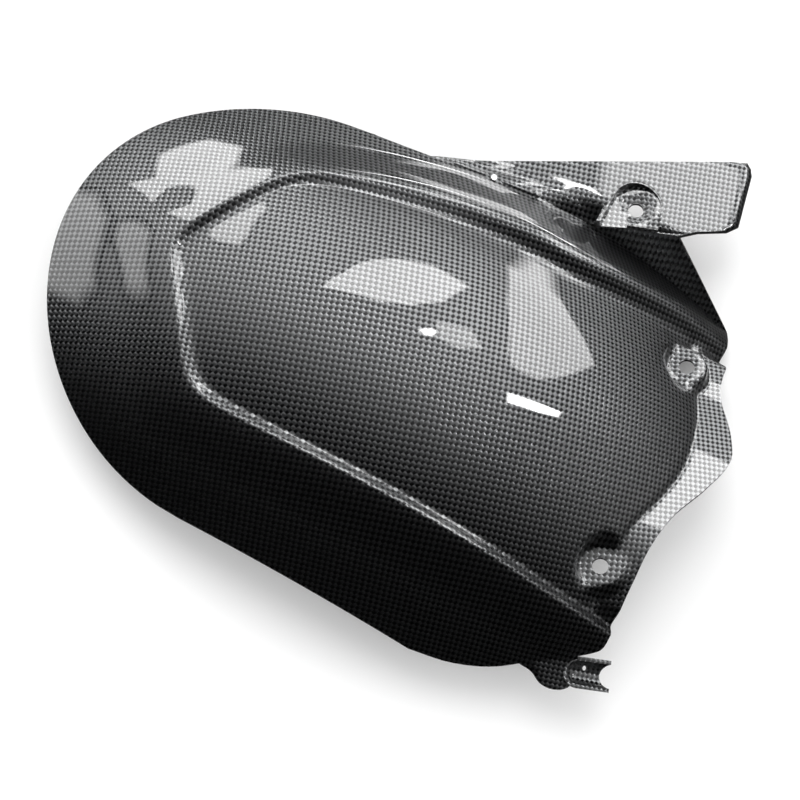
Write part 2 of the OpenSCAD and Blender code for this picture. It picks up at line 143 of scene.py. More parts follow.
def curve(points, x):
    """Height of a smooth curve through the points at x."""
    p = np.array(points, dtype=float)
    c = np.clip(x, p[0, 0], p[-1, 0])
    i = np.clip(np.searchsorted(p[:, 0], c, side="right") - 1, 0, len(p) - 2)
    before, after = np.maximum(i - 1, 0), np.minimum(i + 2, len(p) - 1)
    w = p[i + 1, 0] - p[i, 0]
    t = (c - p[i, 0]) / w
    m0 = (p[i + 1, 1] - p[before, 1]) / (p[i + 1, 0] - p[before, 0]) * w
    m1 = (p[after, 1] - p[i, 1]) / (p[after, 0] - p[i, 0]) * w
    return (
        (2 * t**3 - 3 * t**2 + 1) * p[i, 1] + (t**3 - 2 * t**2 + t) * m0
        + (3 * t**2 - 2 * t**3) * p[i + 1, 1] + (t**3 - t**2) * m1
    )


def crown_fall(y):
    """Fall of the crown from its centre line to y."""
    run = np.where(y > 0, LEFT_CROWN_RUN, CROWN_RUN)
    a = np.minimum(np.abs(y), run)
    chord = np.sqrt(CROWN_R**2 - run**2)
    return CROWN_R - np.sqrt(CROWN_R**2 - a**2) + (np.abs(y) - a) * run / chord


def crown_z(x, y):
    return np.sqrt((WHEEL_R - crown_fall(y)) ** 2 - x**2) - WHEEL_R


def ahead(x, y, point, direction):
    """Distance in front of a line through a point that faces a direction."""
    a = math.radians(direction)
    return (x - point[0]) * math.cos(a) + (y - point[1]) * math.sin(a)


def panel_z(x, y, s):
    """The sunken panel's floor, its wall and the ridge round it, over the crown."""
    d = np.stack([
        *[ahead(x, y, PANEL_TIP, way) for way in REAR_WAYS],
        (y - curve(LEFT_FLOOR_EDGE, x)) * math.cos(math.radians(LEFT_EDGE_TURN)),
        curve(RIGHT_FLOOR_EDGE, x) - y,
    ])
    top = d.max(axis=0)
    dist = top + PANEL_CORNER * np.log(np.exp((d - top) / PANEL_CORNER).sum(axis=0))
    right, left = [mix(REAR_RIDGE_H, end, between(x, RIDGE_RISE)) for end in (s.right_ridge, s.left_ridge)]
    height = mix(right, left, between(y, RIDGE_SIDES))
    wall = mix(RIDGE_WALL_W, LEFT_WALL_W, between(y, WALL_SIDES) * between(x, WALL_RISE))
    return np.where(
        dist < wall,
        mix(-s.floor_drop, height, ease(dist / wall)),
        height * (1 - ease((dist - wall) / RIDGE_FADE)),
    )


def body_z(x, y, s):
    return crown_z(x, y) + panel_z(x, y, s)


def shell_z(x, y, s):
    """Height of the outer surface over a plan point."""
    x, y = np.asarray(x, dtype=float), np.asarray(y, dtype=float)
    foot = curve(FLANGE_LINE, y)
    flange = body_z(foot, y, s) - FLANGE_DROP + FLANGE_SLOPE * (x - foot)
    share = ease((x - foot + 1) / FLANGE_STEP) * between(y, FLANGE_IN) * between(y, FLANGE_OUT)
    z = mix(body_z(x, y, s), flange, share)
    for px, py, pz in pads(s):
        share = 1 - ease((np.hypot(x - px, y - py) - PAD_R) / PAD_FADE)
        z = mix(z, pz + math.tan(math.radians(SCREW_LEAN)) * (x - px), share)
    return z


def pads(s):
    """Places where the screw axes meet the pads of the flange."""
    x = np.array([SCREW_X, SCREW_X])
    y = np.array([RIGHT_SCREW_Y, LEFT_SCREW_Y])
    z = body_z(x, y, s) + np.array([RIGHT_PAD_LIFT, LEFT_PAD_LIFT])
    return list(zip(x, y, z))


# Rows along the shell, as shares of its half width from -1 on the hose side to 1 on the chain side. Those of
# the chain side ridge are counted from a share that grows along the shell by RIDGE_Q, up to RIDGE_Q_END.
# Columns across it, as shares of its length, start from the panel's rear, bent by REAR_BEND. Each step
# between two rows or columns of the solid is drawn in FINE steps.
FINE = 4
REAR_BEND = (60, 25)
RIGHT_ROWS = [-1, -0.98, -0.94, -0.88, -0.82, -0.795, -0.77, -0.745, -0.72, -0.695, -0.67]
RIGHT_ROWS += [-0.64, -0.61, -0.58, -0.555, -0.53, -0.505, -0.475]
PANEL_ROWS = [-0.44, -0.4, -0.36, -0.325, -0.29, -0.25, -0.2]
RIDGE_ROWS = [-0.26, -0.21, -0.17, -0.14, -0.11, -0.08, -0.05, -0.02, 0.01, 0.04, 0.065, 0.09, 0.115, 0.14]
RIDGE_Q = (0.49, 0.79)
RIDGE_Q_END = 0.9
RIM_ROWS = [0.2, 0.4, 0.6, 0.8, 0.93, 1]
NOSE_COLUMNS = [-1, -0.84, -0.68, -0.53, -0.4, -0.3, -0.22, -0.165, -0.12, -0.08, -0.04]
END_COLUMNS = (0.84, 1)
LOBE_ROWS = (4, 10)
LOBE_COLUMNS = [0, 0.3, 0.6, 0.85, 1]
# Height of the lobe of the hose guide, and the points of its edge
LOBE_Z = -59.76
LOBE_EDGE = [(127.5, -94), (134, -97), (141.5, -96.5), (148, -92), (150, -83.5)]
# Places along the rim: where the plate's tail starts, where the web starts, and where the plate ends
TAIL_X, WEB_X, LEAVE_X = -46.0, 46.0, 90.0
RIM_PLACES = [
    TAIL_X, -36, -26, -16, -5, 6, 17, 28, 38, WEB_X, 50, 54, 57, 60, 66, 72, 78, 84, LEAVE_X, 98, 108,
]
# Roll of the plate out of the rim, as a share of its width up to PLATE_BLEND, where it tightens to the
# thickness of the wall, and distance of the web's foot from the rim where the web starts
ROLL_SHARE = 0.35
ROLL_TIGHTENS = (10, WEB_X)
WEB_OUT = 1.5
# Differences that count as none, in shares and in millimetres, and the longest sliver in metres
TINY = 1e-9
NEAR = 0.01
SLIVER = 2e-6

# The cloth: turn of the warp from straight forward in degrees, how far its bundles sway in millimetres and
# how often, how round their ends are, how steeply their painted highlight and painted shade give way to a
# mid grey at their sides, their relief in metres, the painted grey where two of them meet as a share of the
# way from weft to warp, and how far their gloss is drawn out
WARP_TURN = 64.0
SWAY, SWAY_SCALE = 1.6, 22.0
BUNDLE_ROUND = 0.35
TONE_STEEP = 1.7
RELIEF = 0.00017
BETWEEN = 0.6
DRAWN_OUT = 0.6
# Roughness of the cloth, weight of the coat over it and the coat's roughness
LACQUERED = (0.34, 1.0, 0.02)
RESIN_ONLY = (0.62, 0.15, 0.35)
# Beads between places along the rim, and studs as (place, distance from the rim), all in millimetres, with
# the steps along and round them
BEAD_SPANS = ((-34, -18), (-7, 10))
BEAD_OUT, BEAD_LIFT = 1.8, -0.5
BEAD_POINTS, BEAD_STEPS, STUD_STEPS = 13, 20, 28
STUDS = ((-12.5, 1.8), (11.5, 3.6))
STUD_D, STUD_H, STUD_LIFT = 3.4, 2.4, 0.2

# Half the floor's width, the lamp's place, width and power, and the camera's lens and place, in metres and
# watts, with the camera's turns about X, Y and Z in degrees
FLOOR_HALF = 20
KEY_PLACE, KEY_WIDTH, KEY_POWER = (-0.7, 0.5, 1.5), 1.2, 12.0
LENS, SENSOR = 66.56, 36.0
CAMERA_PLACE = (-0.03567, -0.2628, 0.76562)
CAMERA_TURNS = (12.163, -11.205, 28.363)
# The room that the gloss shows: where along an axis of the direction its light changes, and the strengths
# before and after
ROOM_SIDE = ((-0.5, 0.32), (0.0, 1.1))
ROOM_HIGH = ((-0.2, 0.6), (0.1, 1.0))
ROOM_NOSE = ((-0.9, 0.3), (1.5, 0.85))
ROOM_TAIL = ((0.26, 0.5), (1.0, 0.5))
# Distance of the reflection cards in metres, and each card's strength, soft share of its width and corners
CARD_FAR = 1.2
CARDS = {
    "tall_window": (7.5, 0.12, [
        (157, 15), (150, 16), (143, 7), (130, 0), (125, 2), (127, 20), (131, 32), (144, 42), (151, 45),
        (156, 42), (157, 39)]),
    "round_window": (10.0, 0.1, [
        (136, 60), (121, 53), (112, 46), (101, 38), (92, 33), (83, 33), (86, 48), (95, 57), (108, 61),
        (122, 61)]),
    "door": (6.8, 0.1, [
        (54, 51), (58, 52), (64, 48), (70, 41), (77, 29), (82, 10), (78, 6), (72, 7), (68, 12), (62, 17),
        (56, 22), (52, 39), (51, 47)]),
    "side_window": (3.6, 0.3, [
        (174, 2), (166, 4), (161, 14), (168, 22), (178, 25), (197, 27), (204, 22), (200, 10), (188, 4)]),
    "ceiling_panel": (6.5, 0.25, [(87, 57), (81, 64), (70, 62), (66, 54), (75, 50)]),
    "ceiling_tube": (30.0, 0.15, [(45, 59), (39, 45), (36, 47), (36, 53), (38, 61)]),
    "ceiling_spot": (28.0, 0.5, [(91, 65), (85, 60), (80, 60), (82, 64), (86, 66)]),
    "low_window": (3.5, 0.4, [(106, -14), (99, 5), (91, 7), (84, -8), (78, -24), (88, -19), (97, -12)]),
    "low_tube": (16.0, 0.5, [
        (114, -2), (100, -5), (80, -9), (62, -12), (62, -10), (80, -7), (100, -3), (114, 0)]),
}


def finer(values, k):
    """The values with k steps in place of each step between two of them."""
    v = np.array(values, dtype=float)
    return np.interp(np.arange(0, len(v) - 1 + 0.5 / k, 1 / k), np.arange(len(v)), v)


def row_shares(u):
    """Rows of the column at a share of the length, as shares of the half width."""
    q = mix(*RIDGE_Q, float(clamp01(u / RIDGE_Q_END)))
    last = q + RIDGE_ROWS[-1]
    middle = [mix(PANEL_ROWS[-1], q + RIDGE_ROWS[0], i / 7) for i in range(1, 7)]
    ridge = [q + r for r in RIDGE_ROWS]
    rim = [mix(last, 1, r) for r in RIM_ROWS]
    return finer(RIGHT_ROWS + PANEL_ROWS + middle + ridge + rim, FINE)


def nose_x(q):
    return NOSE_ROUND * (1 - np.sqrt(1 - np.minimum(1, np.abs(q)) ** 2)) - NOSE_REACH - NOSE_SKEW * q


def panel_rear_x(q):
    return PANEL_TIP[0] + REAR_BEND[0] * np.abs(q) + REAR_BEND[1] * np.abs(q) ** 3


def half_w(x, q):
    return np.where(np.asarray(q) > 0, LEFT_W + LEFT_FLARE * between(x, FLARE_RUN), RIGHT_W)


def plan_points(u, q):
    """Plan points of a column: from the panel's rear out to the nose for u below 0, and to the end above."""
    rim_y = q * np.where(q > 0, LEFT_W + LEFT_FLARE, RIGHT_W)
    far = nose_x(q) if u < 0 else curve(FRONT_EDGE, rim_y)
    x = mix(panel_rear_x(q), far, abs(u))
    return x, q * half_w(x, q)


def line_at(table, x):
    """Value or point at x along straight lines between the table's rows."""
    places = np.array([row[0] for row in table], dtype=float)
    values = np.array([row[1] for row in table], dtype=float)
    if values.ndim == 1:
        return float(np.interp(x, places, values))
    return np.array([np.interp(x, places, values[:, k]) for k in range(values.shape[1])])


def rim_half(x):
    return float(half_w(x, 1.0))


def plate_plane_z(x):
    return math.tan(math.radians(PLATE_RISE)) * (x - PLATE_SCREW[0]) - PLATE_DEPTH


def from_screw(x, y):
    return np.array([PLATE_SCREW[0] + x, PLATE_SCREW[1] + y])


# Edge of the plate, as the place on the rim that a point belongs to and the point, and its lip: the width
# along the lower edge and at the end, where each holds, where it sinks, and how it bends down
PLATE_TAIL = np.array([TAIL_X, rim_half(TAIL_X)])
PLATE_CORNER = from_screw(42.5, 57)
PLATE_LEAVE = from_screw(26.5, -3.5)
EDGE_SHARE = 0.87
PLATE_EDGE = [
    (TAIL_X, PLATE_TAIL),
    (WEB_X, mix(PLATE_TAIL, PLATE_CORNER, EDGE_SHARE)),
    (54, PLATE_CORNER),
    (57, from_screw(46.3, 55.6)),
    (60, from_screw(48.5, 52.5)),
    (72, from_screw(54.5, 21)),
    (78, from_screw(50, 14.5)),
    (84, from_screw(36, 5.5)),
    (LEAVE_X, PLATE_LEAVE),
]
LOWER_LIP_W, END_LIP_W = 3.0, 5.5
LIP_W = [(50, LOWER_LIP_W), (60, END_LIP_W), (72, END_LIP_W), (80, LOWER_LIP_W)]
LIP_SINKS = (50, 58)
LIP_BEND = 1.5


def fold_point(x, front_x, s):
    """Fold between web and plate for a place on the rim."""
    def rim_z(v):
        return float(shell_z(v, rim_half(v), s))
    if x < WEB_X:
        root = np.array([x, rim_half(x)])
        away = line_at(PLATE_EDGE, x) - root
        run = np.linalg.norm(away)
        roll = mix(min(ROLL_SHARE * run, PLATE_BLEND), WALL, float(between(x, ROLL_TIGHTENS)))
        p = root + roll * away / run
        return np.array([p[0], p[1], mix(rim_z(x), plate_plane_z(p[0]), float(ease(roll / PLATE_BLEND)))])
    if x < LEAVE_X:
        t = (x - WEB_X) / (LEAVE_X - WEB_X)
        p = mix(np.array([WEB_X + WEB_OUT, rim_half(WEB_X) + WEB_OUT]), PLATE_LEAVE, t)
        return np.array([p[0], p[1], mix(rim_z(WEB_X), plate_plane_z(PLATE_LEAVE[0]), t)])
    t = (x - LEAVE_X) / (front_x - LEAVE_X)
    leave = np.array([*PLATE_LEAVE, plate_plane_z(PLATE_LEAVE[0])])
    return mix(leave, np.array([front_x, rim_half(front_x), rim_z(front_x)]), t)


# Shares of the way over the web, the plate and its lip, and how many points that makes beyond the rim
WEB_ROWS = finer([0, 0.33, 0.67, 1], FINE)[1:]
PLATE_ROWS = finer([0, 0.2, 0.45, 0.75, 1], FINE)[1:]
LIP_ROWS = np.linspace(0, 1, 13)[1:]
BEYOND = len(WEB_ROWS) + len(PLATE_ROWS) + len(LIP_ROWS)


def plate_points(x, fold, s):
    """Points from the fold out over the plate and down its lip, for a place on the rim."""
    root = fold[:2]
    edge = line_at(PLATE_EDGE, x)
    away = edge - root
    run = np.linalg.norm(away)
    lip_w = min(line_at(LIP_W, x), run / 2)
    lip_root = edge - lip_w * away / run
    sink = line_at([(LIP_SINKS[0], 0.0), (LIP_SINKS[1], s.plate_lip)], x)
    points = [(*mix(root, lip_root, t), 0.0) for t in PLATE_ROWS]
    points += [(*mix(lip_root, edge, t), sink * t ** LIP_BEND) for t in LIP_ROWS]
    p = np.array(points)
    rolled = ease(np.hypot(p[:, 0] - root[0], p[:, 1] - root[1]) / PLATE_BLEND)
    p[:, 2] = mix(fold[2], plate_plane_z(p[:, 0]), rolled) - p[:, 2]
    return p


def lobe_columns(edge, first, end):
    """More columns beyond the trimmed edge, between two rows, for the lobe of the hose guide."""
    ends = [edge[first], edge[end]]
    outline = np.array([ends[0], *[(x, y, LOBE_Z) for x, y in LOBE_EDGE], ends[1]])
    places = np.linspace(first, end, len(outline))
    rows = np.arange(first, end + 1)
    free = np.stack([curve(list(zip(places, outline[:, k])), rows) for k in range(3)], axis=1)
    columns = []
    for t in finer(LOBE_COLUMNS, FINE)[1:]:
        column = edge.copy()
        column[first + 1:end] = mix(edge[first + 1:end], free[1:-1], t)
        columns.append(column)
    return columns


def shell_grid(s):
    """Grid of the outer surface, with the web and plate beyond its rim and the lobe beyond its trimmed
    edge, the last row of each column, and the column of the trimmed edge."""
    front_x = float(curve(FRONT_EDGE, LEFT_W + LEFT_FLARE))
    rear_x = float(panel_rear_x(1.0))
    panel = [(x - rear_x) / (front_x - rear_x) for x in RIM_PLACES]
    shares = finer(NOSE_COLUMNS + panel + [mix(*END_COLUMNS, i / 10) for i in range(11)], FINE)
    shares[np.abs(shares) < TINY] = 0
    grid, last = [], []
    for u in shares:
        q = row_shares(u)
        x, y = plan_points(u, q)
        column = np.stack([x, y, shell_z(x, y, s)], axis=1)
        rim = column[-1]
        if u <= 0 or u >= 1 - TINY:
            more, end = np.repeat(rim[None], BEYOND, axis=0), 0
        else:
            fold = fold_point(rim[0], front_x, s)
            web = np.array([mix(rim, fold, t) for t in WEB_ROWS])
            if rim[0] >= LEAVE_X - NEAR:
                rest, end = np.repeat(fold[None], BEYOND - len(WEB_ROWS), axis=0), len(WEB_ROWS)
            else:
                rest, end = plate_points(rim[0], fold, s), BEYOND
            more = np.concatenate([web, rest])
        grid.append(np.concatenate([column, more]))
        last.append(len(q) - 1 + end)
    edge_column = len(grid) - 1
    for column in lobe_columns(grid[-1], LOBE_ROWS[0] * FINE, LOBE_ROWS[1] * FINE):
        grid.append(column)
        last.append(last[edge_column])
    return np.array(grid), np.array(last), edge_column


def sheet_mesh(name, grid, last, edge_column, thickness):
    """Closed sheet under a grid of points, with its lower side in the second material.

    A column repeats its last point after the row where it ends, and the lobe's columns repeat the point of
    the trimmed edge outside the lobe's rows.
    """
    n, m = grid.shape[:2]
    i, j = np.meshgrid(np.arange(n), np.arange(m), indexing="ij")
    k = np.minimum(j, last[:, None])
    on_lobe = (k > LOBE_ROWS[0] * FINE) & (k < LOBE_ROWS[1] * FINE)
    h = np.where((i <= edge_column) | on_lobe, i, edge_column)

    def at(a, b):
        return grid[np.clip(a, 0, n - 1), np.clip(b, 0, m - 1)]
    normal = np.cross(at(h + 1, k) - at(h - 1, k), at(h, k + 1) - at(h, k - 1))
    normal /= np.linalg.norm(normal, axis=2, keepdims=True)
    lower = grid - thickness * normal
    ids = h * m + k
    cells = np.stack([ids[:-1, :-1], ids[1:, :-1], ids[1:, 1:], ids[:-1, 1:]], axis=2).reshape(-1, 4)
    under = n * m
    upper_faces = []
    for cell in cells.tolist():
        face = [v for v, w in zip(cell, cell[1:] + cell[:1]) if v != w]
        if len(face) > 2:
            upper_faces.append(face)
    lower_faces = [[v + under for v in reversed(face)] for face in upper_faces]
    loop = np.concatenate([ids[0, :], ids[1:, -1], ids[-1, -2::-1], ids[-2:0:-1, 0]]).tolist()
    loop = [v for v, w in zip(loop, loop[1:] + loop[:1]) if v != w]
    sides = [[w, v, v + under, w + under] for v, w in zip(loop, loop[1:] + loop[:1])]
    points = np.concatenate([grid.reshape(-1, 3), lower.reshape(-1, 3)])
    slots = [0] * len(upper_faces) + [1] * len(lower_faces) + [0] * len(sides)
    return plain_mesh(name, points, upper_faces + lower_faces + sides, slots)


def plain_mesh(name, points, faces, slots=()):
    """Mesh in the shared frame, in metres, with its faces outwards, from points in the wheel's frame."""
    mesh = bpy.data.meshes.new(name)
    mesh.from_pydata(((np.asarray(points) - ORIGIN) * MM).tolist(), [], faces)
    if slots:
        mesh.polygons.foreach_set("material_index", slots)
    form = bmesh.new()
    form.from_mesh(mesh)
    loose = [v for v in form.verts if not v.link_faces]
    bmesh.ops.delete(form, geom=loose, context="VERTS")
    bmesh.ops.recalc_face_normals(form, faces=form.faces)
    form.to_mesh(mesh)
    form.free()
    return mesh


def add_object(name, mesh):
    obj = bpy.data.objects.new(name, mesh)
    bpy.context.scene.collection.objects.link(obj)
    return obj


def prism(name, outline, low, high, place):
    """Upright prism over an outline, put in place by a matrix, in the wheel's frame."""
    k = len(outline)
    points = [place @ Vector((x, y, z)) for z in (low, high) for x, y in outline]
    faces = [list(range(k))[::-1], list(range(k, 2 * k))]
    faces += [[i, (i + 1) % k, k + (i + 1) % k, k + i] for i in range(k)]
    return add_object(name, plain_mesh(name, [tuple(p) for p in points], faces))


def circle(radius, steps=72):
    return arc(radius, 360.0, steps)[:-1]


def arc(radius, turn, steps):
    """Points of an arc from +X, both ends with it."""
    angles = [math.radians(turn * i / steps) for i in range(steps + 1)]
    return [(radius * math.cos(a), radius * math.sin(a)) for a in angles]


def combine(obj, tool, operation):
    """Adds the tool to the object or cuts it out, and removes the tool."""
    step = obj.modifiers.new("step", "BOOLEAN")
    step.operation = operation
    step.solver = "MANIFOLD"
    step.object = tool
    mesh = bpy.data.meshes.new_from_object(obj.evaluated_get(bpy.context.evaluated_depsgraph_get()))
    if not len(mesh.polygons):
        raise RuntimeError("the %s of %s and %s is empty" % (operation, obj.name, tool.name))
    obj.modifiers.remove(step)
    obj.data = mesh
    bpy.data.objects.remove(tool)


def without_slivers(mesh):
    """Closes up the sliver faces that the cuts leave."""
    form = bmesh.new()
    form.from_mesh(mesh)
    bmesh.ops.dissolve_degenerate(form, dist=SLIVER, edges=form.edges)
    form.to_mesh(mesh)
    form.free()


def leaning(point, degrees):
    return Matrix.Translation(point) @ Matrix.Rotation(-math.radians(degrees), 4, "Y")


def revolved(name, profile, place, steps=96):
    """Solid turned round the local Z axis from points (radius, height), the first and last on the axis."""
    low, high = profile[0][1], profile[-1][1]
    points = [(0, 0, low)]
    rings = profile[1:-1]
    for radius, height in rings:
        for a in np.arange(steps) * 2 * math.pi / steps:
            points.append((radius * math.cos(a), radius * math.sin(a), height))
    points.append((0, 0, high))
    faces = []
    for i in range(steps):
        j = (i + 1) % steps
        faces.append([0, 1 + j, 1 + i])
        for k in range(len(rings) - 1):
            a, b = 1 + k * steps, 1 + (k + 1) * steps
            faces.append([a + i, a + j, b + j, b + i])
        a = 1 + (len(rings) - 1) * steps
        faces.append([a + i, a + j, len(points) - 1])
    return add_object(name, plain_mesh(name, [tuple(place @ Vector(p)) for p in points], faces))


# In millimetres: half the length of a drill, height of the seat's walls before they are trimmed, how far
# under the plate's surface that trim is, how far a cut goes past what it cuts, and the width of wide cuts
DRILL = 9.0
SEAT_TALL = 20.0
TRIM_GAP = 0.3
PAST = 1.0
WIDE = 30.0
# Places across the plate of the rear and front corner of the seat's straight side
SEAT_SIDE = (-19.0, -6.0)
# Flat ring round the seat's bore, at the bottom of the washer recess's cone
BORE_RING = 0.6
# Hose guide: height of what is cut away over and under it, how much wider than the hose its notch is, how
# far the notch's middle is past the trough's end, and place of the tie hole
TROUGH_TALL = 14.0
NOTCH_GAP = 0.8
NOTCH_AHEAD = 3.0
TIE_PLACE = (5.0, 3.0, 0)


def seat_outline(radius):
    """D shaped outline of the seat: round towards the chain side and straight towards the web."""
    return arc(radius, 180.0, steps=48) + [(-radius, SEAT_SIDE[0]), (radius, SEAT_SIDE[1])]


def rectangle(rear, front, half):
    """Corners between two places along X, with half its width in Y."""
    return [(rear, -half), (front, -half), (front, half), (rear, half)]


def domed(radius, length):
    """Profile of a round bar with a dome at its start."""
    angles = [math.radians(a) for a in range(0, 91, 6)]
    dome = [(radius * math.sin(a), -radius * math.cos(a)) for a in angles]
    return dome + [(radius, length), (0, length)]


def drill(obj, point, lean, radius):
    combine(obj, prism("drill", circle(radius), -DRILL, DRILL, leaning(point, lean)), "DIFFERENCE")


def add_seat(obj):
    """Cuts the plate round its screw and sets a sunken seat in it, with a conical washer recess."""
    front = PLATE_SCREW[0] + SEAT_R
    floor = plate_plane_z(front) - math.tan(math.radians(SEAT_LEAN)) * SEAT_R
    place = leaning((*PLATE_SCREW, floor), SEAT_LEAN)
    hole = seat_outline(SEAT_R + WALL / 2)
    combine(obj, prism("seat_hole", hole, -WALL / 2, SEAT_TALL, place), "DIFFERENCE")
    cup = prism("seat_cup", seat_outline(SEAT_R + WALL), -WALL, SEAT_TALL, place)
    boss = prism("washer_boss", circle(WASHER_R + WALL), -WALL - WASHER_DEPTH, -WALL / 4, place)
    combine(cup, boss, "UNION")
    combine(cup, prism("seat_space", seat_outline(SEAT_R), 0.0, SEAT_TALL + PAST, place), "DIFFERENCE")
    low = -WASHER_DEPTH
    cone = [(0, low), (SCREW_D / 2 + BORE_RING, low), (WASHER_R, 0.0), (WASHER_R, PAST), (0, PAST)]
    combine(cup, revolved("washer_recess", cone, place), "DIFFERENCE")
    combine(cup, prism("screw_hole", circle(SCREW_D / 2), -DRILL, DRILL, place), "DIFFERENCE")
    above = leaning((*PLATE_SCREW, -PLATE_DEPTH - TRIM_GAP), PLATE_RISE)
    combine(cup, prism("above_plate", rectangle(-WIDE, WIDE, WIDE), 0.0, WIDE, above), "DIFFERENCE")
    combine(obj, cup, "UNION")


def add_trough(obj):
    """Sets the half round trough of the hose guide in the lobe."""
    turn = Matrix.Translation(TROUGH_POS) @ Matrix.Rotation(math.radians(TROUGH_TURN), 4, "Z")
    along = turn @ Matrix.Rotation(math.radians(90), 4, "Y")
    combine(obj, revolved("lobe_cut", domed(HOSE_R + WALL / 2, TROUGH_LEN), along), "DIFFERENCE")
    trough = revolved("trough", domed(HOSE_R + WALL, TROUGH_LEN), along)
    combine(trough, revolved("hose_space", domed(HOSE_R, TROUGH_LEN + PAST), along), "DIFFERENCE")
    over = rectangle(-TROUGH_TALL, WIDE, TROUGH_TALL)
    combine(trough, prism("open_top", over, 0.0, TROUGH_TALL, turn), "DIFFERENCE")
    notch = turn @ Matrix.Translation((TROUGH_LEN + NOTCH_AHEAD, 0, 0))
    ring = circle(HOSE_R + NOTCH_GAP)
    combine(trough, prism("notch", ring, -TROUGH_TALL, TROUGH_TALL, notch), "DIFFERENCE")
    tie = turn @ Matrix.Translation(TIE_PLACE)
    combine(trough, prism("tie_hole", circle(TIE_D / 2, steps=24), -TROUGH_TALL, 0.0, tie), "DIFFERENCE")
    combine(obj, trough, "UNION")


# Faces beyond this place across the shell and this level belong to the plate, whose cloth is laid this much
# further out, and faces less level than the last share count as upright
PLATE_FROM, PLATE_LEVEL, PLATE_SHIFT = 137, 0.9, 20
UPRIGHT = 0.3
# Angle in degrees from which an edge is drawn sharp
SHARP = 55


def read(items, name, width=1, kind=float):
    """Values of one kind from all items of a mesh, in rows where an item has several."""
    values = np.empty(len(items) * width, dtype=kind)
    items.foreach_get(name, values)
    return values.reshape(-1, width) if width > 1 else values


def lay_weave(mesh):
    """UV map in millimetres that lays the cloth along the surface: over the crown, flat on the plate, and
    straight on upright walls."""
    corners = read(mesh.loops, "vertex_index", kind=np.int64)
    totals = read(mesh.polygons, "loop_total", kind=np.int64)
    p = read(mesh.vertices, "co", 3)[corners] / MM + ORIGIN
    n = np.repeat(read(mesh.polygons, "normal", 3), totals, axis=0)
    c = np.repeat(read(mesh.polygons, "center", 3), totals, axis=0) / MM + ORIGIN
    run = np.where(p[:, 1] > 0, LEFT_CROWN_RUN, CROWN_RUN)
    a = np.minimum(np.abs(p[:, 1]), run)
    slope = np.sqrt(1 - (run / CROWN_R) ** 2)
    u = WHEEL_R * np.arcsin(np.clip(p[:, 0] / WHEEL_R, -1, 1))
    v = np.sign(p[:, 1]) * (CROWN_R * np.arcsin(a / CROWN_R) + (np.abs(p[:, 1]) - a) / slope)
    on_plate = (c[:, 1] > PLATE_FROM) & (n[:, 2] > PLATE_LEVEL)
    v = np.where(on_plate, p[:, 1] + PLATE_SHIFT, v)
    upright = np.abs(n[:, 2]) < UPRIGHT
    beside = np.abs(n[:, 1]) >= np.abs(n[:, 0])
    u = np.where(upright & ~beside, p[:, 1], u)
    v = np.where(upright, p[:, 2], v)
    layer = mesh.uv_layers.new(name="weave")
    layer.data.foreach_set("uv", np.stack([u, v], axis=1).ravel())


def shade(mesh):
    mesh.polygons.foreach_set("use_smooth", [True] * len(mesh.polygons))
    mesh.set_sharp_from_angle(angle=math.radians(SHARP))


def srgb(colour):
    """Scene colour from three values as they are seen on a screen."""
    return [c / 12.92 if c <= 0.04045 else ((c + 0.055) / 1.055) ** 2.4 for c in colour]


def hexed(text):
    """Screen values from a hex colour."""
    return [int(text[k:k + 2], 16) / 255 for k in (1, 3, 5)]


def node(tree, kind, inputs=None, **settings):
    """Adds a node with its settings, and sets its inputs or links them from other nodes' outputs."""
    made = tree.nodes.new(kind)
    for name, value in settings.items():
        setattr(made, name, value)
    for name, value in (inputs or {}).items():
        if isinstance(value, bpy.types.NodeSocket):
            tree.links.new(value, made.inputs[name])
        else:
            made.inputs[name].default_value = value
    return made


def math_node(tree, operation, *values):
    return node(tree, "ShaderNodeMath", dict(enumerate(values)), operation=operation).outputs[0]


def vector_node(tree, operation, inputs):
    return node(tree, "ShaderNodeVectorMath", inputs, operation=operation).outputs[0]


def ramp(tree, value, span, levels, smooth=True):
    """Value that goes from the first level to the second where the given one crosses a span."""
    inputs = {0: value, 1: span[0], 2: span[1], 3: levels[0], 4: levels[1]}
    kind = "SMOOTHSTEP" if smooth else "LINEAR"
    return node(tree, "ShaderNodeMapRange", inputs, interpolation_type=kind).outputs[0]


def empty_tree(owner):
    """Node tree of a material or world, cleared."""
    owner.use_nodes = True
    owner.node_tree.nodes.clear()
    return owner.node_tree


def blank_material(name):
    material = bpy.data.materials.new(name)
    return material, empty_tree(material)


